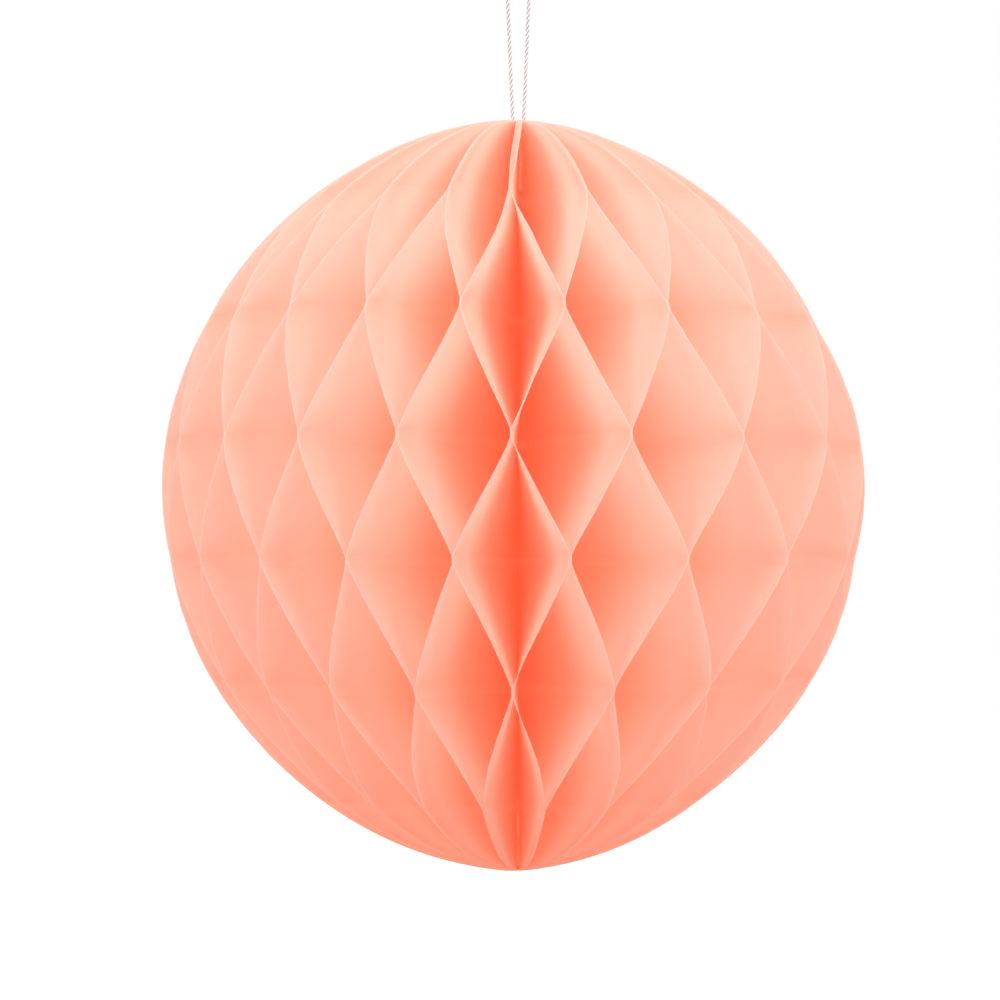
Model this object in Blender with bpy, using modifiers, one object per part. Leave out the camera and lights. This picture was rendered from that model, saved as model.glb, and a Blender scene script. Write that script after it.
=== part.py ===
"""A hanging honeycomb ball of tissue paper, opened all the way round.

A stack of tissue sheets is cut to a half disc and bound along the straight edge. Each sheet is
glued to one neighbour along every second line and to its other neighbour along the lines between,
so the opened stack is a ball of diamond cells. A white cord comes out of the top as a loop.

Metres, +Z up. The origin is the centre of the ball. The front of the ball faces -Y.
"""

import math

import bmesh
import bpy
from mathutils import Vector

# The paper
BALL_HEIGHT = 0.200
SHEET_COUNT = 40
SHEET_THICKNESS = 0.0002
SPINE_INSET = 0.0070  # the centre of the cut disc lies this far behind the spine
RIM_SKEW = 0.0014  # the knife leaned, so the sheets on the left stand out this much more
POLE_EDGE = 0.0090  # the last row of a sheet runs this far out from the spine

# The glue lines, which run straight out from the spine
GLUE_LINES = 6
GLUE_PITCH = 0.0323
GLUE_SHIFT = -0.0030  # all the lines sit this far above the middle of the cut
GLUE_STAGGER = 0.0009  # every second line stands this much above its even place
GLUE_WIDTH = 0.0024
GLUE_GAP = 0.0003  # between the two sheets that a line joins

# The opened fan: where it starts, and how unevenly its folds are spread round the axis
FAN_START = 10.6  # degrees
FAN_WAVES = ((1, 4.8, -12.1), (2, -2.7, 0.4))  # waves a turn, then degrees of sine and cosine
TIGHTEST_FOLD = 0.76  # the narrowest fold as a share of an even one
RIM_DRAW = 0.035  # opening the folds draws the glue lines together by this share at the rim

# The binding, the cord and its knot
SEAT_GAP = 0.0003
BINDING_LENGTH = 0.0180
BINDING_RECESS = 0.0012  # from the end of the spine to the binding
BINDING_CHAMFER = 0.0003
CORD_DIAMETER = 0.00107
CORD_SPREAD = 0.00294  # between the middles of the two strands where they leave the ball
KNOT_RADIUS = 0.0030

# The left half of the cord's route, as (x, z) from inside the spine to the crown of the loop
CORD_HALF_ROUTE = (
    (-0.00147, 0.08174), (-0.00147, 0.08800), (-0.00147, 0.09450), (-0.00150, 0.10100),
    (-0.00179, 0.10800), (-0.00209, 0.11500), (-0.00239, 0.12200), (-0.00268, 0.12900),
    (-0.00293, 0.13500), (-0.00310, 0.13950), (-0.00268, 0.14105), (-0.00155, 0.14218),
)
CORD_CROWN = (0.0, 0.14260)

# How finely the pieces are drawn
SHEET_COLUMNS = 2
CAP_ROWS = 4
ROUND_STEPS = 24
CORD_STEP = 2.3  # points on the cord, in diameters

# Worked out from the sizes above
FOLD_STEP = math.tau / SHEET_COUNT
LAYER_PITCH = SHEET_THICKNESS + GLUE_GAP
SPINE_RADIUS = LAYER_PITCH / (FOLD_STEP * TIGHTEST_FOLD)
SHEET_RADIUS = math.hypot(BALL_HEIGHT / 2, SPINE_INSET + SPINE_RADIUS)
BINDING_RADIUS = SPINE_RADIUS - SEAT_GAP
BINDING_BORE = CORD_SPREAD / 2 + CORD_DIAMETER / 2 + SEAT_GAP
BINDING_END = BALL_HEIGHT / 2 - BINDING_RECESS


def clear_scene():
    for obj in list(bpy.data.objects):
        bpy.data.objects.remove(obj)


def material(name, colour, roughness):
    made = bpy.data.materials.new(name)
    made.use_nodes = True
    shader = made.node_tree.nodes["Principled BSDF"]
    shader.inputs["Base Color"].default_value = (*colour, 1.0)
    shader.inputs["Roughness"].default_value = roughness
    shader.inputs["Metallic"].default_value = 0.0
    made.diffuse_color = (*colour, 1.0)
    return made


def add_object(name, data, finish, collection):
    obj = bpy.data.objects.new(name, data)
    obj.data.materials.clear()
    obj.data.materials.append(finish)
    collection.objects.link(obj)
    return obj


def fold_angle(node):
    """The azimuth of a glued node, counted round the ball. 0 faces the front, + is to the right."""
    turn = node * FOLD_STEP
    wander = sum(
        sine * math.sin(waves * turn) + cosine * math.cos(waves * turn)
        for waves, sine, cosine in FAN_WAVES
    )
    return turn + math.radians(FAN_START + wander)


def fold_opening(node):
    """How wide the folds stand at a node, where 1 is an even fan."""
    return (fold_angle(node + 1) - fold_angle(node - 1)) / (2 * FOLD_STEP)


def glue_height(line):
    """The height of a glue line on the flat sheet. Line 0 is the top one."""
    even_place = ((GLUE_LINES - 1) / 2 - line) * GLUE_PITCH + GLUE_SHIFT
    return even_place + (GLUE_STAGGER if line % 2 else 0.0)


def crossing(height):
    """Where a sheet stands at a height: 0 at the neighbour that the even lines join it to, 1 at
    the neighbour of the odd lines, and on a straight slope between two lines."""
    share = 0.0
    for line in range(GLUE_LINES - 1):
        top = glue_height(line) - GLUE_WIDTH / 2
        bottom = glue_height(line + 1) + GLUE_WIDTH / 2
        gone = min(max((top - height) / (top - bottom), 0.0), 1.0)
        share += gone if line % 2 == 0 else -gone
    return share


def cut_inset(azimuth):
    return SPINE_INSET + RIM_SKEW * math.sin(azimuth)


def rim_reach(height, azimuth):
    """How far the round edge is from the axis at a height on the flat sheet."""
    return math.sqrt(SHEET_RADIUS**2 - height**2) - cut_inset(azimuth)


def rim_height(reach, azimuth):
    """How high the round edge is at a distance from the axis."""
    return math.sqrt(SHEET_RADIUS**2 - (reach + cut_inset(azimuth)) ** 2)


def sheet_rows():
    """The rows of a sheet from the bottom up, as (height at the rim, lean). A row is level where
    lean is 0, and follows the round edge itself where it is 1."""
    levels = []
    for line in range(GLUE_LINES):
        levels += [glue_height(line) + GLUE_WIDTH / 2, glue_height(line) - GLUE_WIDTH / 2]
    middles = [(upper + lower) / 2 for upper, lower in zip(levels[1::2], levels[2::2])]
    rows = [(height, 0.0) for height in levels + middles]
    last_angle = math.acos((SPINE_INSET + SPINE_RADIUS + POLE_EDGE) / SHEET_RADIUS)
    for end, level in ((1, levels[0]), (-1, -levels[-1])):
        first_angle = math.asin(level / SHEET_RADIUS)
        for row in range(1, CAP_ROWS + 1):
            share = row / CAP_ROWS
            angle = first_angle + (last_angle - first_angle) * share
            rows.append((end * SHEET_RADIUS * math.sin(angle), share))
    return sorted(rows)


def sheet_point(number, height, lean, across):
    """A point of a sheet. Sheet N lies between nodes N - 1 and N, and across runs from 0 at the
    spine to 1 at the round edge."""
    even_node, odd_node = sorted((number - 1, number), key=lambda node: node % 2)
    node = even_node + (odd_node - even_node) * crossing(height)
    low, high = fold_angle(number - 1), fold_angle(number)
    between = node - (number - 1)
    azimuth = low + (high - low) * between
    reach = SPINE_RADIUS + (rim_reach(height, azimuth) - SPINE_RADIUS) * across
    edge = math.copysign(rim_height(reach, azimuth), height)
    flat_height = height + (edge - height) * lean
    opening = fold_opening(number - 1) * (1 - between) + fold_opening(number) * between
    drawn = RIM_DRAW * (opening * reach / (SHEET_RADIUS - SPINE_INSET)) ** 2
    aside = LAYER_PITCH * (0.5 - between)
    outward = Vector((math.sin(azimuth), -math.cos(azimuth), 0.0))
    sideways = Vector((math.cos(azimuth), math.sin(azimuth), 0.0))
    place = outward * reach + sideways * aside
    place.z = flat_height * (1 - drawn)
    return place


def sheet_mesh(number):
    """One folded half disc, as an open surface without its thickness."""
    rows = sheet_rows()
    form = bmesh.new()
    bmesh.ops.create_grid(
        form, x_segments=SHEET_COLUMNS, y_segments=len(rows) - 1, size=0.5
    )
    for vert in form.verts:
        height, lean = rows[round((vert.co.y + 0.5) * (len(rows) - 1))]
        vert.co = sheet_point(number, height, lean, vert.co.x + 0.5)
    mesh = bpy.data.meshes.new(f"sheet_{number:02d}")
    form.to_mesh(mesh)
    form.free()
    return mesh


def add_sheets(collection):
    tissue = material("peach_tissue", (1.0, 0.50, 0.36), 0.85)
    for number in range(1, SHEET_COUNT + 1):
        sheet = add_object(f"sheet_{number:02d}", sheet_mesh(number), tissue, collection)
        thickness = sheet.modifiers.new("thickness", "SOLIDIFY")
        thickness.thickness = SHEET_THICKNESS
        thickness.offset = 0.0


def add_bindings(collection):
    """A short turned sleeve at each end of the spine, to which the straight edges are glued."""
    glued_paper = material("glued_paper", (0.95, 0.42, 0.28), 0.6)
    low = BINDING_END - BINDING_LENGTH
    form = bmesh.new()
    profile = [
        (BINDING_BORE, BINDING_END),
        (BINDING_RADIUS - BINDING_CHAMFER, BINDING_END),
        (BINDING_RADIUS, BINDING_END - BINDING_CHAMFER),
        (BINDING_RADIUS, low + BINDING_CHAMFER),
        (BINDING_RADIUS - BINDING_CHAMFER, low),
        (BINDING_BORE, low),
    ]
    verts = [form.verts.new((radius, 0.0, height)) for radius, height in profile]
    for start, end in zip(verts, verts[1:] + verts[:1]):
        form.edges.new((start, end))
    mesh = bpy.data.meshes.new("spine_binding")
    form.to_mesh(mesh)
    form.free()
    for name, tilt in (("spine_binding_top", 0.0), ("spine_binding_bottom", math.pi)):
        sleeve = add_object(name, mesh, glued_paper, collection)
        sleeve.rotation_euler.x = tilt
        turn = sleeve.modifiers.new("turn", "SCREW")
        turn.steps = turn.render_steps = ROUND_STEPS
        turn.use_merge_vertices = True
        turn.merge_threshold = 0.00001


def smooth_route(points, step):
    """Points about a step apart on the smooth curve through the given ones."""
    ends = [2 * points[0] - points[1], *points, 2 * points[-1] - points[-2]]
    fine = []
    for before, start, end, after in zip(ends, ends[1:], ends[2:], ends[3:]):
        for part in range(20):
            t = part / 20
            fine.append(
                0.5
                * (
                    2 * start
                    + (end - before) * t
                    + (2 * before - 5 * start + 4 * end - after) * t**2
                    + (3 * start - before - 3 * end + after) * t**3
                )
            )
    fine.append(points[-1])
    length = sum((b - a).length for a, b in zip(fine, fine[1:]))
    spacing = length / max(round(length / step), 1)
    kept, since = [fine[0]], 0.0
    for a, b in zip(fine, fine[1:]):
        since += (b - a).length
        if since >= spacing:
            kept.append(b)
            since -= spacing
    if (kept[-1] - fine[-1]).length < spacing / 2:
        kept.pop()
    return kept + [fine[-1]]


def add_cord(collection):
    """One loop of twisted cord, both ends of which go down the bore of the top binding."""
    cotton = material("white_cord", (0.86, 0.86, 0.86), 0.8)
    left = [Vector((x, 0.0, z)) for x, z in CORD_HALF_ROUTE]
    right = [Vector((-x, 0.0, z)) for x, z in reversed(CORD_HALF_ROUTE)]
    crown = Vector((CORD_CROWN[0], 0.0, CORD_CROWN[1]))
    route = smooth_route([*left, crown, *right], CORD_STEP * CORD_DIAMETER)
    curve = bpy.data.curves.new("hanging_cord", "CURVE")
    curve.dimensions = "3D"
    curve.bevel_depth = CORD_DIAMETER / 2
    curve.bevel_resolution = 2
    curve.use_fill_caps = True
    line = curve.splines.new("POLY")
    line.points.add(len(route) - 1)
    for point, place in zip(line.points, route):
        point.co = (*place, 1.0)
    add_object("hanging_cord", curve, cotton, collection)
    add_knot(left[0].z, cotton, collection)


def add_knot(cord_end, cotton, collection):
    """The knot that ties the ends of the cord. It is too wide for the bore, so it bears on the
    lower end of the top binding from below."""
    below = math.sqrt((KNOT_RADIUS + SEAT_GAP) ** 2 - BINDING_BORE**2)
    seat = BINDING_END - BINDING_LENGTH - below
    centre = min(seat, cord_end - SEAT_GAP - KNOT_RADIUS)
    form = bmesh.new()
    bmesh.ops.create_uvsphere(form, u_segments=12, v_segments=8, radius=KNOT_RADIUS)
    mesh = bpy.data.meshes.new("cord_knot")
    form.to_mesh(mesh)
    form.free()
    mesh.shade_smooth()
    knot = add_object("cord_knot", mesh, cotton, collection)
    knot.location.z = centre


def build():
    clear_scene()
    ball = bpy.data.collections.new("honeycomb_paper_ball")
    bpy.context.scene.collection.children.link(ball)
    add_sheets(ball)
    add_bindings(ball)
    add_cord(ball)


build()
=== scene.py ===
import math
import random

import bmesh
import bpy
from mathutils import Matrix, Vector


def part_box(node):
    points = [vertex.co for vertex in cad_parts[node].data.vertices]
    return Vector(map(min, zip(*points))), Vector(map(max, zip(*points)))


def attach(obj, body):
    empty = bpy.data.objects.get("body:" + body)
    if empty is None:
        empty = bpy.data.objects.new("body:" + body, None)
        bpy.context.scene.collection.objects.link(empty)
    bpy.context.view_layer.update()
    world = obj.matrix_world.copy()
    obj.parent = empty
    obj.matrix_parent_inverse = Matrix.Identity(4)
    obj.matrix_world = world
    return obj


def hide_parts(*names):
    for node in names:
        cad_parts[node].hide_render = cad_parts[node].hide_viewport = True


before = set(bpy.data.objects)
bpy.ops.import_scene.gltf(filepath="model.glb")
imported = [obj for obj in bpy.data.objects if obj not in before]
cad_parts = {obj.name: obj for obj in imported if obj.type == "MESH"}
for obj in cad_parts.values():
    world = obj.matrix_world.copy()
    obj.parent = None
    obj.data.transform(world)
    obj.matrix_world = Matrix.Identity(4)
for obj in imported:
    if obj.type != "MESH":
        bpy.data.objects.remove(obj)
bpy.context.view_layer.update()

# The view
# The ball was photographed from just below its middle through a long lens, with the spine a
# little to the right of the picture's middle.
CAMERA_DISTANCE = 0.908
CAMERA_BELOW = 0.0208
VIEW_MIDDLE = Vector((-0.0049, 0.0, -0.0014))
LENS = 122.2

lens = bpy.data.cameras.new("photo_view")
lens.lens = LENS
camera = bpy.data.objects.new("photo_view", lens)
camera.location = (0.0, -CAMERA_DISTANCE, -CAMERA_BELOW)
camera.rotation_euler = (VIEW_MIDDLE - camera.location).to_track_quat("-Z", "Y").to_euler()
bpy.context.scene.collection.objects.link(camera)
bpy.context.scene.camera = camera


# The hanging cord
# A thin white cotton cord, laid up from three plies. It runs up from its knot through the top
# binding, makes one long loop to hang the ball by, and runs down again.
CORD_DIAMETER = 0.00107
CORD_LAY = 0.0044  # the cord's length for one full turn of its plies
CORD_PLIES = 3
CORD_STEP = 0.00030  # between two points along a ply
CORD_SIDES = 8
COTTON_GRAIN = 5200.0  # grains a metre
GROOVE_REACH = (0.00030, 0.00048)  # from the cord's axis: deep in a groove, and at its lips
PAINTED_GROOVE_SHADE = 0.42  # how bright the painted shade in a groove is, beside 1 for the plies' tops
ORANGE_LIGHT_HEIGHTS = (0.0940, 0.0985)  # painted orange light, full below the first and gone above the second
PALE_COTTON = {0.3: (0.62, 0.67, 0.70, 1.0), 0.7: (0.86, 0.91, 0.93, 1.0)}
# The painted orange light on the cord and knot inside the ball
COTTON_IN_PAINTED_ORANGE_LIGHT = (1.0, 0.42, 0.28, 1.0)
CORD_HALF_ROUTE = (  # across and up, along the left strand from the knot to the crown
    (-0.00147, 0.08174), (-0.00147, 0.08800), (-0.00147, 0.09450), (-0.00150, 0.10100),
    (-0.00179, 0.10800), (-0.00209, 0.11500), (-0.00239, 0.12200), (-0.00268, 0.12900),
    (-0.00293, 0.13500), (-0.00310, 0.13950), (-0.00268, 0.14105), (-0.00155, 0.14218),
)
CORD_CROWN = (0.0, 0.0, 0.14260)
CREASE_ANGLE = math.radians(40)  # faces that meet at more than this stay sharp


def add_node(tree, kind, slots=None, **settings):
    """A node of a tree, with its settings made and its inputs linked or set."""
    node = tree.nodes.new(kind)
    for name, value in settings.items():
        setattr(node, name, value)
    for slot, value in (slots or {}).items():
        if isinstance(value, bpy.types.NodeSocket):
            tree.links.new(value, node.inputs[slot])
        else:
            node.inputs[slot].default_value = value
    return node


def maths(tree, operation, *terms):
    """The outcome of one sum, whose terms are numbers or outcomes of other nodes."""
    return add_node(tree, "ShaderNodeMath", dict(enumerate(terms)), operation=operation).outputs[0]


def new_tree(name, sizes):
    """An empty Geometry Nodes tree with a named input for each size and one for the material."""
    tree = bpy.data.node_groups.new(name, "GeometryNodeTree")
    tree.interface.new_socket("Geometry", in_out="INPUT", socket_type="NodeSocketGeometry")
    for size, value in sizes.items():
        kind = "NodeSocketInt" if isinstance(value, int) else "NodeSocketFloat"
        tree.interface.new_socket(size, in_out="INPUT", socket_type=kind).default_value = value
    tree.interface.new_socket("Finish", in_out="INPUT", socket_type="NodeSocketMaterial")
    tree.interface.new_socket("Geometry", in_out="OUTPUT", socket_type="NodeSocketGeometry")
    return tree, tree.nodes.new("NodeGroupInput").outputs


def end_tree(tree, geometry, finish):
    real = add_node(tree, "GeometryNodeRealizeInstances", {"Geometry": geometry})
    dressed = add_node(
        tree, "GeometryNodeSetMaterial", {"Geometry": real.outputs[0], "Material": finish}
    )
    tree.links.new(dressed.outputs[0], tree.nodes.new("NodeGroupOutput").inputs[0])


def make_piece(name, source, tree, sizes, thickness=None):
    """Runs a tree on a source mesh or curve and keeps the outcome as a plain mesh object."""
    worker = bpy.data.objects.new(name + "_source", source)
    bpy.context.scene.collection.objects.link(worker)
    run = worker.modifiers.new(tree.name, "NODES")
    run.node_group = tree
    for socket in tree.interface.items_tree:
        if socket.in_out == "INPUT" and socket.name in sizes:
            run[socket.identifier] = sizes[socket.name]
    if thickness:
        wall = worker.modifiers.new("thickness", "SOLIDIFY")
        wall.thickness = thickness
        wall.offset = 0.0
    evaluated = worker.evaluated_get(bpy.context.evaluated_depsgraph_get())
    mesh = bpy.data.meshes.new_from_object(evaluated)
    bpy.data.objects.remove(worker)
    mesh.name = name
    mesh.shade_smooth()
    piece = bpy.data.objects.new(name, mesh)
    bpy.context.scene.collection.objects.link(piece)
    return piece


def polyline(name, points, closed=False):
    line = bpy.data.curves.new(name, "CURVE")
    line.dimensions = "3D"
    spline = line.splines.new("POLY")
    spline.points.add(len(points) - 1)
    for point, place in zip(spline.points, points):
        point.co = (*place, 1.0)
    spline.use_cyclic_u = closed
    return line


def shader_parts(name, roughness):
    """A new material, its node tree, its main shader and the place on the piece."""
    made = bpy.data.materials.new(name)
    made.use_nodes = True
    nodes = made.node_tree.nodes
    shader = nodes["Principled BSDF"]
    shader.inputs["Roughness"].default_value = roughness
    place = nodes.new("ShaderNodeTexCoord").outputs["Object"]
    return made, made.node_tree, shader, place


def two_colours(tree, value, stops):
    """A colour that runs between the two stops with a value from 0 to 1."""
    ramp = add_node(tree, "ShaderNodeValToRGB", {"Fac": value})
    for element, (position, colour) in zip(ramp.color_ramp.elements, stops.items()):
        element.position = position
        element.color = colour
    return ramp.outputs["Color"]


cotton, nodes, shader, place = shader_parts("white_cotton", roughness=0.75)
shader.inputs["Sheen Weight"].default_value = 0.25
fibres = add_node(
    nodes, "ShaderNodeTexNoise", {"Vector": place, "Scale": COTTON_GRAIN, "Detail": 3.0}
)
tint = two_colours(nodes, fibres.outputs["Fac"], PALE_COTTON)

# The cord is painted darker in the grooves between its plies, a painted shade, and inside the ball
# it is painted orange, standing in for the orange light that the tissue throws on it.
from_axis = add_node(nodes, "ShaderNodeAttribute", attribute_name="from_cord_axis")
# Painted shade: the cord's colour is darkened in the grooves between its plies.
groove = add_node(
    nodes, "ShaderNodeMapRange",
    {
        "Value": from_axis.outputs["Fac"],
        "From Min": GROOVE_REACH[0], "From Max": GROOVE_REACH[1],
        "To Min": PAINTED_GROOVE_SHADE, "To Max": 1.0,
    },
)
shaded = add_node(
    nodes, "ShaderNodeVectorMath", {0: tint, 3: groove.outputs[0]}, operation="SCALE"
)
orange_lit = add_node(
    nodes, "ShaderNodeMapRange",
    {
        "Value": add_node(nodes, "ShaderNodeSeparateXYZ", {0: place}).outputs["Z"],
        "From Min": ORANGE_LIGHT_HEIGHTS[0], "From Max": ORANGE_LIGHT_HEIGHTS[1], "To Min": 1.0, "To Max": 0.0,
    },
)
cotton_and_painted_light = add_node(
    nodes, "ShaderNodeMix", {0: orange_lit.outputs[0], 6: shaded.outputs[0]}, data_type="RGBA"
)
cotton_and_painted_light.inputs[7].default_value = COTTON_IN_PAINTED_ORANGE_LIGHT
nodes.links.new(cotton_and_painted_light.outputs[2], shader.inputs["Base Color"])
fuzz = add_node(
    nodes, "ShaderNodeBump",
    {"Height": fibres.outputs["Fac"], "Strength": 0.35, "Distance": 0.00006},
)
nodes.links.new(fuzz.outputs["Normal"], shader.inputs["Normal"])

# Three touching plies just fill the cord's diameter.
ply_radius = CORD_DIAMETER / 2 / (1 + 2 / math.sqrt(3))
cord_tree, size = new_tree(
    "laid_cord",
    {
        "Plies": CORD_PLIES,
        "Lay": CORD_LAY,
        "Ply Radius": ply_radius,
        "Ply Offset": CORD_DIAMETER / 2 - ply_radius,
        "Step": CORD_STEP,
    },
)
smooth = add_node(
    cord_tree, "GeometryNodeCurveSplineType", {"Curve": size["Geometry"]},
    spline_type="CATMULL_ROM",
)
fine = add_node(
    cord_tree, "GeometryNodeResampleCurve", {"Curve": smooth.outputs[0]}, mode="LENGTH"
)
cord_tree.links.new(size["Step"], fine.inputs["Length"])
plies = add_node(
    cord_tree, "GeometryNodeDuplicateElements",
    {"Geometry": fine.outputs[0], "Amount": size["Plies"]}, domain="SPLINE",
)
along = maths(
    cord_tree, "DIVIDE",
    add_node(cord_tree, "GeometryNodeSplineParameter").outputs["Length"], size["Lay"],
)
share = maths(cord_tree, "DIVIDE", plies.outputs["Duplicate Index"], size["Plies"])
turn = maths(cord_tree, "MULTIPLY", maths(cord_tree, "ADD", along, share), math.tau)
normal = cord_tree.nodes.new("GeometryNodeInputNormal").outputs[0]
tangent = cord_tree.nodes.new("GeometryNodeInputTangent").outputs[0]
side = add_node(
    cord_tree, "ShaderNodeVectorMath", {0: tangent, 1: normal}, operation="CROSS_PRODUCT"
)
lifted = add_node(
    cord_tree, "ShaderNodeVectorMath",
    {0: normal, 3: maths(cord_tree, "COSINE", turn)}, operation="SCALE",
)
swung = add_node(
    cord_tree, "ShaderNodeVectorMath",
    {0: side.outputs[0], 3: maths(cord_tree, "SINE", turn)}, operation="SCALE",
)
around = add_node(
    cord_tree, "ShaderNodeVectorMath", {0: lifted.outputs[0], 1: swung.outputs[0]},
    operation="ADD",
)
offset = add_node(
    cord_tree, "ShaderNodeVectorMath", {0: around.outputs[0], 3: size["Ply Offset"]},
    operation="SCALE",
)
spot = cord_tree.nodes.new("GeometryNodeInputPosition").outputs[0]
marked = add_node(
    cord_tree, "GeometryNodeStoreNamedAttribute",
    {"Geometry": plies.outputs["Geometry"], "Name": "cord_axis", "Value": spot},
    data_type="FLOAT_VECTOR", domain="POINT",
)
laid = add_node(
    cord_tree, "GeometryNodeSetPosition",
    {"Geometry": marked.outputs[0], "Offset": offset.outputs[0]},
)
ring = add_node(
    cord_tree, "GeometryNodeCurvePrimitiveCircle",
    {"Resolution": CORD_SIDES, "Radius": size["Ply Radius"]},
)
tubes = add_node(
    cord_tree, "GeometryNodeCurveToMesh",
    {"Curve": laid.outputs[0], "Profile Curve": ring.outputs[0], "Fill Caps": True},
)
axis = add_node(
    cord_tree, "GeometryNodeInputNamedAttribute", {"Name": "cord_axis"}, data_type="FLOAT_VECTOR"
)
from_axis = add_node(
    cord_tree, "ShaderNodeVectorMath", {0: spot, 1: axis.outputs[0]}, operation="DISTANCE"
)
measured = add_node(
    cord_tree, "GeometryNodeStoreNamedAttribute",
    {"Geometry": tubes.outputs[0], "Name": "from_cord_axis", "Value": from_axis.outputs["Value"]},
    data_type="FLOAT", domain="POINT",
)
end_tree(cord_tree, measured.outputs[0], size["Finish"])

left_strand = [Vector((x, 0.0, z)) for x, z in CORD_HALF_ROUTE]
right_strand = [Vector((-x, 0.0, z)) for x, z in reversed(CORD_HALF_ROUTE)]
cord_route = [*left_strand, Vector(CORD_CROWN), *right_strand]


def halved(route):
    """The route with one more point halfway along each step, on the smooth curve through it."""
    ends = [route[0], *route, route[-1]]
    finer = [route[0]]
    for before, start, end, after in zip(ends, ends[1:], ends[2:], ends[3:]):
        finer += [(9 * (start + end) - before - after) / 16, end]
    return finer


cord = make_piece(
    "laid_hanging_cord", polyline("cord_route", cord_route), cord_tree, {"Finish": cotton}
)
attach(cord, "root")
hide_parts("hanging_cord")


# The cord's knot
# The two ends of the cord are tied together in one overhand knot, which is too thick for the
# bore of the binding above it and so carries the ball. It is drawn tight, with its ends trimmed.
KNOT_TURNS = 0.00078  # a third of the distance from its middle to its widest turns
KNOT_DEPTH = 0.0009  # a quarter of the height between its lowest and highest turns
KNOT_STEPS = 72

knot_low, knot_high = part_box("cord_knot")
knot_middle = (knot_low + knot_high) / 2
knot_line = []
for step in range(KNOT_STEPS):
    angle = math.tau * step / KNOT_STEPS
    bight = Vector(
        (
            KNOT_TURNS * (math.sin(angle) + 2 * math.sin(2 * angle)),
            KNOT_TURNS * (math.cos(angle) - 2 * math.cos(2 * angle)),
            -2 * KNOT_DEPTH * math.sin(3 * angle),
        )
    )
    knot_line.append(knot_middle + bight)
knot_underside = knot_middle.z - 2 * KNOT_DEPTH - CORD_DIAMETER / 2
knot = make_piece(
    "tied_cord_knot", polyline("knot_line", knot_line, closed=True), cord_tree,
    {"Finish": cotton},
)
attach(knot, "root")
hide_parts("cord_knot")
halved(cord_route)


# The tissue sheets
# Forty half discs of thin peach tissue. Every sheet is glued to one neighbour along every second
# line and to its other neighbour along the lines between, and opened out round the spine.
BALL_HEIGHT = 0.200
SHEET_COUNT = 40
SPINE_INSET = 0.0070  # the middle of the round edge's circle lies this far behind the axis
RIM_SKEW = 0.0014  # the sheets on the left stand out this much more, and on the right less
SHEET_RADIUS = 0.10062
GLUE_LINES = 6
GLUE_PITCH = 0.0323
GLUE_SHIFT = -0.0030  # of all the glue lines, upwards
GLUE_STAGGER = 0.0009  # every second line lies this much higher
GLUE_WIDTH = 0.0024
FAN_START = 10.6  # degrees from the front to the first pair, before the waves below
FAN_WAVES = ((1, 4.8, -12.1), (2, -2.7, 0.4))  # waves a turn, and their sizes in degrees
RIM_DRAW = 0.035  # the share by which the opened folds draw the glue lines together at the rim
TISSUE_THICKNESS = 0.00015
PAIR_PITCH = 0.00028  # between the middles of the two sheets that a glue line joins
SPINE_RADIUS = 0.0009  # where the straight edges are bunched together
BINDING_SEAT = 0.0041  # the straight edges are cut back this far where the binding holds them
KNOT_SEAT = 0.0030  # and this far beside the knot
CORD_SEAT = 0.0022  # and this far above the binding, where the cord comes out
SEAT_GAP = 0.0003  # below what the edges are cut back for, and the height of each step
FOLD_SOFTNESS = 0.14  # 0 for walls that are flat between two glue strips, 1 for rounded ones
RIPPLE = 0.035  # about how far a wall strays, as a share of one fold
LOOSE_PAIR = 0.0003  # the most that a closed pair stands open past the last glue line
FRONT_GAPE = 0.0013  # of the pair in front, above the top glue line
PAIR_LEAN = 0.7  # degrees, round the last glue line at each end
SEEN_LEANS = {0: -1.1, 38: 1.0}  # of the pairs at the front of the top
WALL_ROWS = (0.0, 0.0005, 0.0012, 0.0024, 0.0044, 0.0075, 0.0115)  # from a glue strip's edge
CAP_ROWS = 16
POLE_ROOM = 0.0004  # the last row of a sheet runs out this far past the cord's seat
WIDEST_GAPE = 0.6  # as a share of one fold
CURL_START = 0.90  # the share of the way out at which a gaping edge starts to curl
GAPE_RUN = 9.0  # how soon a gape opens past the last glue line
LEAN_RUNS = ((0.4, 0.0), (-0.63, -0.2))  # from none to full, in glue pitches in from the last line
COCKLE_SIZE = 38.0  # waves a metre
COCKLE_SPREAD = 9.0  # the stretch of noise that the sheets' ripples are drawn from
SHEET_CHANCE = 7  # starts the random draws
ROUNDING = 0.000001
SHEET_COLUMNS = 20
RIM_COLUMN = 1.6  # above 1, the columns stand closer together towards the round edge

fold_step = math.tau / SHEET_COUNT


def fold_azimuth(node):
    """Where a glued pair of sheets stands, counted round the ball. 0 faces the front."""
    turn = node * fold_step
    wander = sum(
        sine * math.sin(waves * turn) + cosine * math.cos(waves * turn)
        for waves, sine, cosine in FAN_WAVES
    )
    return turn + math.radians(FAN_START + wander)


def fold_opening(node):
    return (fold_azimuth(node + 1) - fold_azimuth(node - 1)) / (2 * fold_step)


def glue_height(line):
    even_place = ((GLUE_LINES - 1) / 2 - line) * GLUE_PITCH + GLUE_SHIFT
    return even_place + (GLUE_STAGGER if line % 2 else 0.0)


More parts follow.
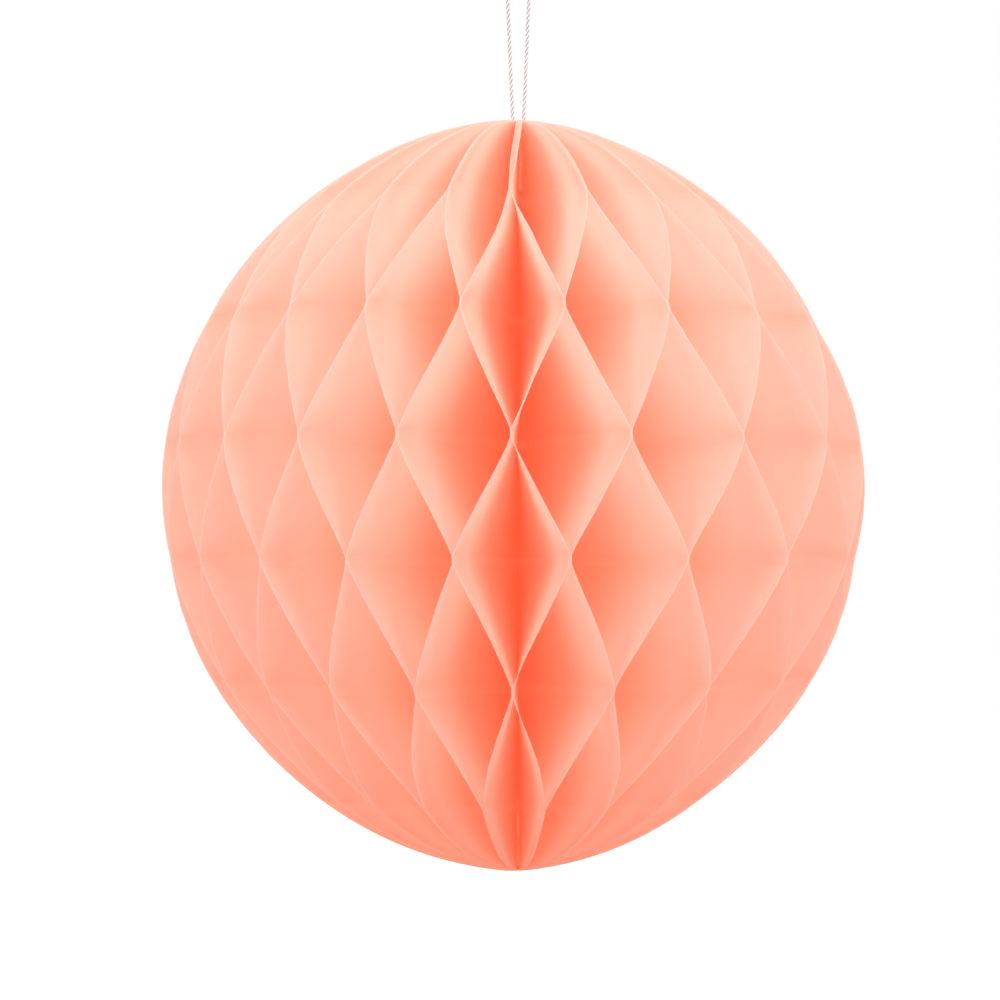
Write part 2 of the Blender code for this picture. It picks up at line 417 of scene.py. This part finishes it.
def cut_back_steps():
    """How far out the straight edge is cut back at each height, to seat the bindings and knot."""
    low_binding, high_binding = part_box("spine_binding_bottom"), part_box("spine_binding_top")
    steps = [
        (low_binding[0].z - SEAT_GAP, SPINE_RADIUS, BINDING_SEAT),
        (low_binding[1].z, BINDING_SEAT, SPINE_RADIUS),
        (knot_underside - SEAT_GAP, SPINE_RADIUS, KNOT_SEAT),
        (high_binding[0].z - SEAT_GAP, KNOT_SEAT, BINDING_SEAT),
        (high_binding[1].z, BINDING_SEAT, CORD_SEAT),
    ]
    reaches = [(-SHEET_RADIUS, SPINE_RADIUS)]
    for height, below, above in steps:
        reaches += [(height, below), (height + SEAT_GAP, above)]
    return [*reaches, (SHEET_RADIUS, CORD_SEAT)]


def flat_half_disc():
    """The tissue as it is cut, flat in the XZ plane, with rows along the glue lines."""
    heights = set()
    for line in range(GLUE_LINES):
        heights.add(glue_height(line))
        for reach in WALL_ROWS:
            heights.add(glue_height(line) + GLUE_WIDTH / 2 + reach)
            heights.add(glue_height(line) - GLUE_WIDTH / 2 - reach)
    top, bottom = glue_height(0) + GLUE_WIDTH / 2, glue_height(GLUE_LINES - 1) - GLUE_WIDTH / 2
    heights = {height for height in heights if bottom <= height <= top}
    notches = cut_back_steps()
    heights.update(height for height, reach in notches)
    last = math.acos((SPINE_INSET + CORD_SEAT + POLE_ROOM) / SHEET_RADIUS)
    for end, level in ((1, top), (-1, -bottom)):
        first = math.asin(level / SHEET_RADIUS)
        for row in range(1, CAP_ROWS + 1):
            heights.add(end * SHEET_RADIUS * math.sin(first + (last - first) * row / CAP_ROWS))
    top_of_sheet = SHEET_RADIUS * math.sin(last)
    heights = sorted(height for height in heights if abs(height) <= top_of_sheet + ROUNDING)
    form = bmesh.new()
    bmesh.ops.create_grid(
        form, x_segments=SHEET_COLUMNS, y_segments=len(heights) - 1, size=0.5
    )
    for vert in form.verts:
        height = heights[round((vert.co.y + 0.5) * (len(heights) - 1))]
        across = 1 - (0.5 - vert.co.x) ** RIM_COLUMN
        spine = SPINE_RADIUS
        for (low, inner), (high, outer) in zip(notches, notches[1:]):
            if low <= height <= high:
                spine = inner + (outer - inner) * (height - low) / (high - low)
        rim = math.sqrt(SHEET_RADIUS**2 - height**2) - SPINE_INSET
        vert.co = (spine + (rim - spine) * across, 0.0, height)
    cut = form.loops.layers.uv.new("cut")
    for face in form.faces:
        for loop in face.loops:
            loop[cut].uv = (loop.vert.co.x / BALL_HEIGHT, loop.vert.co.z / BALL_HEIGHT + 0.5)
    mesh = bpy.data.meshes.new("flat_half_disc")
    form.to_mesh(mesh)
    form.free()
    return mesh


fold_tree, size = new_tree(
    "folded_tissue_sheet",
    {
        "Even Azimuth": 0.0,
        "Odd Azimuth": fold_step,
        "Even Opening": 1.0,
        "Odd Opening": 1.0,
        "Side": 1.0,
        "Top Gape": 0.0,
        "Bottom Gape": 0.0,
        "Top Lean": 0.0,
        "Bottom Lean": 0.0,
        "Sheet Radius": SHEET_RADIUS,
        "Spine Inset": SPINE_INSET,
        "Rim Skew": RIM_SKEW,
        "Rim Draw": RIM_DRAW,
        "Glue Lines": GLUE_LINES,
        "Glue Pitch": GLUE_PITCH,
        "Glue Shift": GLUE_SHIFT,
        "Glue Stagger": GLUE_STAGGER,
        "Glue Width": GLUE_WIDTH,
        "Pair Pitch": PAIR_PITCH,
        "Fold Softness": FOLD_SOFTNESS,
        "Ripple": RIPPLE,
        "Seed": 0.0,
    },
)


def fold(operation, *terms):
    return maths(fold_tree, operation, *terms)


flat_place = fold_tree.nodes.new("GeometryNodeInputPosition").outputs[0]
flat = add_node(fold_tree, "ShaderNodeSeparateXYZ", {0: flat_place})
flat_reach, flat_height = flat.outputs["X"], flat.outputs["Z"]

# Which glue line a height lies at, as a number from 0 at the top line to 5 at the bottom one.
half_stagger = fold("MULTIPLY", size["Glue Stagger"], 0.5)
middle = fold("ADD", size["Glue Shift"], half_stagger)
last_line = fold("SUBTRACT", size["Glue Lines"], 1.0)
even_line = fold(
    "SUBTRACT", fold("MULTIPLY", last_line, 0.5),
    fold("DIVIDE", fold("SUBTRACT", flat_height, middle), size["Glue Pitch"]),
)
swing = fold("COSINE", fold("MULTIPLY", even_line, math.pi))
line_place = fold(
    "SUBTRACT", even_line,
    fold("MULTIPLY", swing, fold("DIVIDE", half_stagger, size["Glue Pitch"])),
)
held = fold("MINIMUM", fold("MAXIMUM", line_place, 0.0), last_line)

# How far the sheet has gone from its even neighbour, at 0, to its odd one, at 1.
strip = fold("DIVIDE", fold("MULTIPLY", size["Glue Width"], 0.5), size["Glue Pitch"])
zigzag = fold("PINGPONG", held, 1.0)
slopes = {}
for kind in ("LINEAR", "SMOOTHSTEP"):
    slopes[kind] = add_node(
        fold_tree, "ShaderNodeMapRange",
        {"Value": zigzag, "From Min": strip, "From Max": fold("SUBTRACT", 1.0, strip)},
        interpolation_type=kind,
    ).outputs[0]
softened = fold(
    "ADD", slopes["LINEAR"],
    fold(
        "MULTIPLY", size["Fold Softness"],
        fold("SUBTRACT", slopes["SMOOTHSTEP"], slopes["LINEAR"]),
    ),
)

flat_rim = fold(
    "SUBTRACT",
    fold(
        "SQRT",
        fold(
            "SUBTRACT", fold("POWER", size["Sheet Radius"], 2.0),
            fold("MULTIPLY", flat_height, flat_height),
        ),
    ),
    size["Spine Inset"],
)


def eased(value, start, end):
    """Runs from 0 at the start value to 1 at the end value, slowly at both."""
    return add_node(
        fold_tree, "ShaderNodeMapRange", {"Value": value, "From Min": start, "From Max": end},
        interpolation_type="SMOOTHSTEP",
    ).outputs[0]


# Past the last line at either end a pair isn't glued. The round edge of one sheet can curl away
# from the other there, and the pair as a whole leans a little to one side.
past_top = fold("MAXIMUM", fold("SUBTRACT", 0.0, fold("ADD", line_place, strip)), 0.0)
past_bottom = fold(
    "MAXIMUM", fold("SUBTRACT", fold("SUBTRACT", line_place, last_line), strip), 0.0
)
curl = eased(fold("DIVIDE", flat_reach, flat_rim), CURL_START, 1.0)
rim_step = fold("MULTIPLY", flat_rim, fold_step)
gapes, leans = {}, {}
for end, past in (("Top", past_top), ("Bottom", past_bottom)):
    share = fold("MINIMUM", fold("DIVIDE", size[f"{end} Gape"], rim_step), WIDEST_GAPE)
    opened = fold("TANH", fold("MULTIPLY", past, GAPE_RUN))
    gapes[end] = fold("MULTIPLY", fold("MULTIPLY", share, curl), opened)
    from_end = line_place if end == "Top" else fold("SUBTRACT", last_line, line_place)
    runs = [eased(from_end, *run) for run in LEAN_RUNS]
    leans[end] = fold("MULTIPLY", size[f"{end} Lean"], fold("MULTIPLY", *runs))

# The walls between two lines aren't quite flat. They stray most halfway across, and not at all
# at their folds.
cockle_place = add_node(
    fold_tree, "ShaderNodeCombineXYZ", {"X": flat_reach, "Y": size["Seed"], "Z": flat_height}
)
cockle = add_node(
    fold_tree, "ShaderNodeTexNoise",
    {
        "Vector": cockle_place.outputs[0], "Scale": COCKLE_SIZE, "Detail": 2.0,
        "Roughness": 0.45,
    },
)
free = fold("MULTIPLY", fold("MULTIPLY", softened, fold("SUBTRACT", 1.0, softened)), 4.0)
rippled = fold(
    "MULTIPLY", fold("MULTIPLY", free, size["Ripple"]),
    fold("MULTIPLY", fold("SUBTRACT", cockle.outputs[0], 0.5), 4.0),
)
gone = fold("ADD", fold("ADD", softened, rippled), fold("SUBTRACT", gapes["Top"], gapes["Bottom"]))


def between_neighbours(even, odd):
    return fold("ADD", even, fold("MULTIPLY", gone, fold("SUBTRACT", odd, even)))


upright_azimuth = between_neighbours(size["Even Azimuth"], size["Odd Azimuth"])
azimuth = fold("ADD", upright_azimuth, fold("ADD", leans["Top"], leans["Bottom"]))
opening = between_neighbours(size["Even Opening"], size["Odd Opening"])

# Close to the spine all the sheets lie evenly spaced, and a glued pair has no room to part.
bunched = fold("MULTIPLY", fold("MULTIPLY", flat_reach, opening), fold_step)
pair_pitch = fold("MINIMUM", size["Pair Pitch"], bunched)
aside = fold("MULTIPLY", fold("MULTIPLY", size["Side"], pair_pitch), fold("SUBTRACT", 0.5, gone))
sine, cosine = fold("SINE", azimuth), fold("COSINE", azimuth)
skew = fold("DIVIDE", fold("MULTIPLY", size["Rim Skew"], sine), flat_rim)
reach = fold("MULTIPLY", flat_reach, fold("SUBTRACT", 1.0, skew))
widest = fold("SUBTRACT", size["Sheet Radius"], size["Spine Inset"])
pulled = fold("POWER", fold("DIVIDE", fold("MULTIPLY", opening, reach), widest), 2.0)
drawn = fold("SUBTRACT", 1.0, fold("MULTIPLY", size["Rim Draw"], pulled))
place = add_node(
    fold_tree, "ShaderNodeCombineXYZ",
    {
        "X": fold("ADD", fold("MULTIPLY", sine, reach), fold("MULTIPLY", cosine, aside)),
        "Y": fold("SUBTRACT", fold("MULTIPLY", sine, aside), fold("MULTIPLY", cosine, reach)),
        "Z": fold("MULTIPLY", flat_height, drawn),
    },
)
# The finish reads how far a point lies from the middle of a glue line and from the cut edge,
# and its share of the way in to the spine. They are marked while the sheet is still flat.
from_glue = fold("MULTIPLY", fold("PINGPONG", line_place, 0.5), size["Glue Pitch"])
from_middle = fold(
    "SQRT",
    fold(
        "ADD", fold("POWER", fold("ADD", flat_reach, size["Spine Inset"]), 2.0),
        fold("MULTIPLY", flat_height, flat_height),
    ),
)
marked = size["Geometry"]
for name, value in (
    ("from_glue", from_glue),
    ("from_cut_edge", fold("SUBTRACT", size["Sheet Radius"], from_middle)),
    ("share_inwards", fold("SUBTRACT", 1.0, fold("DIVIDE", flat_reach, flat_rim))),
):
    marked = add_node(
        fold_tree, "GeometryNodeStoreNamedAttribute",
        {"Geometry": marked, "Name": name, "Value": value},
        data_type="FLOAT", domain="POINT",
    ).outputs[0]
folded = add_node(
    fold_tree, "GeometryNodeSetPosition",
    {"Geometry": marked, "Position": place.outputs[0]},
)
end_tree(fold_tree, folded.outputs[0], size["Finish"])

# Peach tissue: it sends light back and lets light through in equal parts. Its colour is palest
# a little way in from the cut edge, a painted light, and deepest towards the spine, a painted
# shade.
# The glue shows as faint pale bands, and the very edge is a little paler, a painted highlight.
TISSUE_WITH_PAINTED_LIGHT_AND_SHADE = {  # by the share of the way from the cut edge in to the spine
    0.02: (1.0, 0.695, 0.595, 1.0),
    0.20: (1.0, 0.785, 0.70, 1.0),
    0.52: (1.0, 0.69, 0.58, 1.0),
    0.93: (1.0, 0.62, 0.49, 1.0),
}
PALE_TONE_AND_HIGHLIGHT_COLOUR = (1.0, 0.93, 0.87, 1.0)
EDGE_HIGHLIGHT_BAND = (0.0001, 0.0006)  # from the cut edge: the painted highlight is full up to the first, gone at the second
GLUE_BAND = (0.0009, 0.0015)  # and the same from the middle of a glue line
EDGE_HIGHLIGHT_PALENESS = 0.22
GLUE_PALENESS = 0.10
MOTTLE_PALENESS = 0.10
MOTTLE_SPAN = (0.3, 0.7)  # of the noise, from no mottle to the full one
MOTTLE_GRAIN = 420.0  # grains a metre
CREASE_GRAIN = 150.0
CREASE_RELIEF, FIBRE_RELIEF = 0.8, 0.2
TISSUE_THROUGH = 0.50  # the share of the light that goes through

tissue, nodes, shader, place = shader_parts("peach_tissue", roughness=0.9)
shader.inputs["Specular IOR Level"].default_value = 0.0
# The ramp paints light near the cut edge and shade towards the spine over the tissue's peach.
inwards = add_node(nodes, "ShaderNodeAttribute", attribute_name="share_inwards").outputs["Fac"]
paper = add_node(nodes, "ShaderNodeValToRGB", {"Fac": inwards})
stops = paper.color_ramp.elements
stops.remove(stops[0])
for share, colour in TISSUE_WITH_PAINTED_LIGHT_AND_SHADE.items():
    stops.new(share).color = colour
stops.remove(stops[-1])
paper.color_ramp.interpolation = "EASE"


def read_mark(tree, name, nearest, furthest):
    """1 where a marked distance is at its nearest, running down to 0 at its furthest."""
    mark = add_node(tree, "ShaderNodeAttribute", attribute_name=name)
    return add_node(
        tree, "ShaderNodeMapRange",
        {
            "Value": mark.outputs["Fac"], "From Min": nearest, "From Max": furthest,
            "To Min": 1.0, "To Max": 0.0,
        },
        interpolation_type="SMOOTHSTEP",
    ).outputs[0]


# A painted highlight along the cut edge, mixed towards one pale colour with the glue bands and
# mottle.
cut_edge = read_mark(nodes, "from_cut_edge", *EDGE_HIGHLIGHT_BAND)
glue_strip = read_mark(nodes, "from_glue", *GLUE_BAND)
clouds = add_node(
    nodes, "ShaderNodeTexNoise",
    {"Vector": place, "Scale": MOTTLE_GRAIN, "Detail": 2.0, "Roughness": 0.62},
)
mottle = add_node(
    nodes, "ShaderNodeMapRange",
    {
        "Value": clouds.outputs["Fac"],
        "From Min": MOTTLE_SPAN[0], "From Max": MOTTLE_SPAN[1],
        "To Min": 0.0, "To Max": MOTTLE_PALENESS,
    },
)
pale_share = maths(
    nodes, "ADD", mottle.outputs[0],
    maths(
        nodes, "ADD", maths(nodes, "MULTIPLY", glue_strip, GLUE_PALENESS),
        maths(nodes, "MULTIPLY", cut_edge, EDGE_HIGHLIGHT_PALENESS),
    ),
)
mottled_glued_and_highlit = add_node(
    nodes, "ShaderNodeMix", {0: pale_share, 6: paper.outputs[0]}, data_type="RGBA",
    clamp_factor=True,
)
mottled_glued_and_highlit.inputs[7].default_value = PALE_TONE_AND_HIGHLIGHT_COLOUR
nodes.links.new(mottled_glued_and_highlit.outputs[2], shader.inputs["Base Color"])

# Fine fibres, and long soft creases that run up and down.
creases = add_node(
    nodes, "ShaderNodeTexNoise",
    {
        "Vector": add_node(
            nodes, "ShaderNodeMapping", {"Vector": place, "Scale": (1.0, 1.0, 0.35)}
        ).outputs[0],
        "Scale": CREASE_GRAIN, "Detail": 1.0, "Roughness": 0.5,
    },
)
relief = maths(
    nodes, "ADD", maths(nodes, "MULTIPLY", creases.outputs["Fac"], CREASE_RELIEF),
    maths(nodes, "MULTIPLY", clouds.outputs["Fac"], FIBRE_RELIEF),
)
bump = add_node(
    nodes, "ShaderNodeBump", {"Height": relief, "Strength": 0.30, "Distance": 0.0005}
)
nodes.links.new(bump.outputs["Normal"], shader.inputs["Normal"])
through = add_node(
    nodes, "ShaderNodeBsdfTranslucent",
    {"Color": mottled_glued_and_highlit.outputs[2], "Normal": bump.outputs["Normal"]},
)
both = add_node(
    nodes, "ShaderNodeMixShader",
    {0: TISSUE_THROUGH, 1: shader.outputs[0], 2: through.outputs[0]},
)

# The tissue is so thin that light meets it once, at the face that it comes in by.
inner_face = nodes.nodes.new("ShaderNodeNewGeometry").outputs["Backfacing"]
clear = nodes.nodes.new("ShaderNodeBsdfTransparent")
once = add_node(
    nodes, "ShaderNodeMixShader", {0: inner_face, 1: both.outputs[0], 2: clear.outputs[0]}
)
nodes.links.new(once.outputs[0], nodes.nodes["Material Output"].inputs["Surface"])

flat_tissue = flat_half_disc()
chance = random.Random(SHEET_CHANCE)
leans = []
for node in range(SHEET_COUNT):
    lean = chance.uniform(-PAIR_LEAN, PAIR_LEAN)
    leans.append(math.radians(SEEN_LEANS.get(node, lean)))
for number in range(1, SHEET_COUNT + 1):
    even_node, odd_node = sorted((number - 1, number), key=lambda node: node % 2)
    gapes = [chance.uniform(0.0, LOOSE_PAIR) for end in range(2)]
    if number == 1:
        gapes[0] = FRONT_GAPE
    sheet = make_piece(
        f"folded_sheet_{number:02d}", flat_tissue, fold_tree,
        {
            "Even Azimuth": fold_azimuth(even_node),
            "Odd Azimuth": fold_azimuth(odd_node),
            "Even Opening": fold_opening(even_node),
            "Odd Opening": fold_opening(odd_node),
            "Side": 1.0 if even_node < odd_node else -1.0,
            "Top Gape": gapes[0],
            "Bottom Gape": gapes[1],
            "Top Lean": leans[even_node % SHEET_COUNT],
            "Bottom Lean": leans[odd_node],
            "Seed": chance.uniform(0.0, COCKLE_SPREAD),
            "Finish": tissue,
        },
        thickness=TISSUE_THICKNESS,
    )
    sheet.data.set_sharp_from_angle(angle=CREASE_ANGLE)
    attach(sheet, "root")
    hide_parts(f"sheet_{number:02d}")


# The spine bindings
# A narrow strip of the same paper, rolled up with glue into a short sleeve. The straight edges
# of the sheets are glued to it at each end of the spine, and the cord runs up through the top one.
ROLL_TURNS = 4
ROLL_STEPS = 40  # a turn
ROLL_THICKNESS = 0.00026
ROLL_ROWS = 10
EDGE_WAVER = 0.00012  # how far the strip's edges stray up and down
WAVER_GRAIN = 260.0  # grains a metre
STAIN_GRAIN = 700.0
GLUED_COLOURS = {0.35: (1.0, 0.42, 0.26, 1.0), 0.65: (1.0, 0.54, 0.38, 1.0)}

glued, nodes, shader, place = shader_parts("glued_paper", roughness=0.9)
shader.inputs["Specular IOR Level"].default_value = 0.0
stains = add_node(
    nodes, "ShaderNodeTexNoise", {"Vector": place, "Scale": STAIN_GRAIN, "Detail": 4.0}
)
stain = two_colours(nodes, stains.outputs["Fac"], GLUED_COLOURS)
nodes.links.new(stain, shader.inputs["Base Color"])
lumps = add_node(
    nodes, "ShaderNodeBump",
    {"Height": stains.outputs["Fac"], "Strength": 0.3, "Distance": 0.0002},
)
nodes.links.new(lumps.outputs["Normal"], shader.inputs["Normal"])


def rolled_strip(low, high, inner, outer):
    """An upright strip of paper, rolled from the inner radius out to the outer one."""
    form = bmesh.new()
    bmesh.ops.create_grid(
        form, x_segments=ROLL_TURNS * ROLL_STEPS, y_segments=ROLL_ROWS, size=0.5
    )
    for vert in form.verts:
        share = vert.co.x + 0.5
        radius = inner + (outer - inner) * share
        angle = math.tau * ROLL_TURNS * share
        height = low.z + (high.z - low.z) * (vert.co.y + 0.5)
        vert.co = (radius * math.sin(angle), radius * math.cos(angle), height)
    bmesh.ops.recalc_face_normals(form, faces=form.faces)
    mesh = bpy.data.meshes.new("rolled_strip")
    form.to_mesh(mesh)
    form.free()
    return mesh


roll_tree, size = new_tree("rolled_binding", {"Edge Waver": EDGE_WAVER})
lift = add_node(
    roll_tree, "ShaderNodeTexNoise",
    {
        "Vector": roll_tree.nodes.new("GeometryNodeInputPosition").outputs[0],
        "Scale": WAVER_GRAIN, "Detail": 1.0,
    },
)
waver = maths(
    roll_tree, "MULTIPLY", maths(roll_tree, "SUBTRACT", lift.outputs[0], 0.5), size["Edge Waver"]
)
worn_strip = add_node(
    roll_tree, "GeometryNodeSetPosition",
    {
        "Geometry": size["Geometry"],
        "Offset": add_node(roll_tree, "ShaderNodeCombineXYZ", {"Z": waver}).outputs[0],
    },
)
end_tree(roll_tree, worn_strip.outputs[0], size["Finish"])
bore = CORD_DIAMETER / 2 - CORD_HALF_ROUTE[0][0]
for end in ("top", "bottom"):
    low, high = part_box(f"spine_binding_{end}")
    roll = make_piece(
        f"rolled_binding_{end}",
        rolled_strip(low, high, bore + ROLL_THICKNESS, high.x - ROLL_THICKNESS / 2),
        roll_tree, {"Finish": glued}, thickness=ROLL_THICKNESS,
    )
    roll.data.set_sharp_from_angle(angle=CREASE_ANGLE)
    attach(roll, "root")
    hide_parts(f"spine_binding_{end}")


# The studio
# The ball hangs well above a wide floor in a white room that is brightest in front and above,
# between two softboxes that stand in front to the left and right. The backdrop is plain white,
# also in glass and metal, but that white gives the paper no light.
FLOOR_DROP = 0.62
FLOOR_RADIUS = 14.0
FLOOR_SIDES = 64
FLOOR_COLOUR = (0.55, 0.32, 0.26, 1.0)
FLOOR_LIFT = 0.84  # brings the floor up to white where the camera sees it, and not its shadow
SKY_LEVELS = (0.52, 1.48)  # on the dim side of the room and on the bright one
BRIGHT_SIDE = (0.0, -0.65, 0.76)
SKY_SPAN = 0.8  # how far towards and away from the bright side the level keeps changing
PLAIN_WHITE = (1.0, 1.0, 1.0, 1.0)
LAMPS = {"right_softbox": (38.0, 24.0, 10.0), "left_softbox": (-38.0, 20.0, 10.0)}
LAMP_DISTANCE = 2.6
LAMP_SIZE = 0.7
CELL_BOUNCES = 3  # from wall to wall, before the room's even light stands in
LIGHT_BOUNCES = 24
FILL_REACH = 0.00001  # so short that no wall shades the room's even light


def seen_share(tree):
    """1 for what the camera sees, also in metal and glass, and 0 for what lights a surface."""
    paths = tree.nodes.new("ShaderNodeLightPath").outputs
    mirrored = maths(tree, "MAXIMUM", paths["Is Glossy Ray"], paths["Is Transmission Ray"])
    seen = maths(tree, "MAXIMUM", paths["Is Camera Ray"], mirrored)
    return maths(tree, "MULTIPLY", maths(tree, "SUBTRACT", 1.0, paths["Is Diffuse Ray"]), seen)


form = bmesh.new()
bmesh.ops.create_circle(form, cap_ends=True, radius=FLOOR_RADIUS, segments=FLOOR_SIDES)
floor_mesh = bpy.data.meshes.new("floor")
form.to_mesh(floor_mesh)
form.free()
floor = bpy.data.objects.new("floor", floor_mesh)
floor.location.z = -FLOOR_DROP
bpy.context.scene.collection.objects.link(floor)

pale, nodes, shader, place = shader_parts("pale_floor", roughness=0.9)
shader.inputs["Base Color"].default_value = FLOOR_COLOUR
shader.inputs["Specular IOR Level"].default_value = 0.0
shader.inputs["Emission Color"].default_value = PLAIN_WHITE
lift = maths(nodes, "MULTIPLY", seen_share(nodes), FLOOR_LIFT)
nodes.links.new(lift, shader.inputs["Emission Strength"])
floor.data.materials.append(pale)

world = bpy.data.worlds.new("studio")
world.use_nodes = True
bpy.context.scene.world = world
nodes = world.node_tree
nodes.nodes.clear()
bright_side = add_node(
    nodes, "ShaderNodeVectorMath",
    {0: nodes.nodes.new("ShaderNodeTexCoord").outputs["Generated"], 1: BRIGHT_SIDE},
    operation="DOT_PRODUCT",
)
sky_level = add_node(
    nodes, "ShaderNodeMapRange",
    {
        "Value": bright_side.outputs["Value"], "From Min": -SKY_SPAN, "From Max": SKY_SPAN,
        "To Min": SKY_LEVELS[0], "To Max": SKY_LEVELS[1],
    },
)
sky = add_node(
    nodes, "ShaderNodeBackground", {"Color": PLAIN_WHITE, "Strength": sky_level.outputs[0]}
)
backdrop = add_node(nodes, "ShaderNodeBackground", {"Color": PLAIN_WHITE, "Strength": 1.0})
room = add_node(
    nodes, "ShaderNodeMixShader",
    {0: seen_share(nodes), 1: sky.outputs[0], 2: backdrop.outputs[0]},
)
add_node(nodes, "ShaderNodeOutputWorld", {"Surface": room.outputs[0]})

# Each softbox has its turn from the front, its height above the level and its power.
for name, (turn, height, power) in LAMPS.items():
    softbox = bpy.data.lights.new(name, "AREA")
    softbox.shape = "DISK"
    softbox.size = LAMP_SIZE
    softbox.energy = power
    lamp = bpy.data.objects.new(name, softbox)
    turn, height = math.radians(turn), math.radians(height)
    away = Vector(
        (
            math.sin(turn) * math.cos(height),
            -math.cos(turn) * math.cos(height),
            math.sin(height),
        )
    )
    lamp.location = LAMP_DISTANCE * away
    lamp.rotation_euler = (-away).to_track_quat("-Z", "Y").to_euler()
    bpy.context.scene.collection.objects.link(lamp)

# Light goes from wall to wall many times in a cell of pale tissue before it comes out again.
# The first bounces are followed, and the even light of the room stands in for all the rest.
cycles = bpy.context.scene.cycles
cycles.max_bounces = LIGHT_BOUNCES
cycles.diffuse_bounces = LIGHT_BOUNCES
cycles.transmission_bounces = LIGHT_BOUNCES
cycles.transparent_max_bounces = LIGHT_BOUNCES
cycles.use_light_tree = False
cycles.debug_use_spatial_splits = True
cycles.use_fast_gi = True
cycles.fast_gi_method = "REPLACE"
cycles.ao_bounces_render = CELL_BOUNCES
world.light_settings.distance = FILL_REACH
world.cycles.sampling_method = "NONE"
bpy.context.scene.view_settings.view_transform = "Standard"
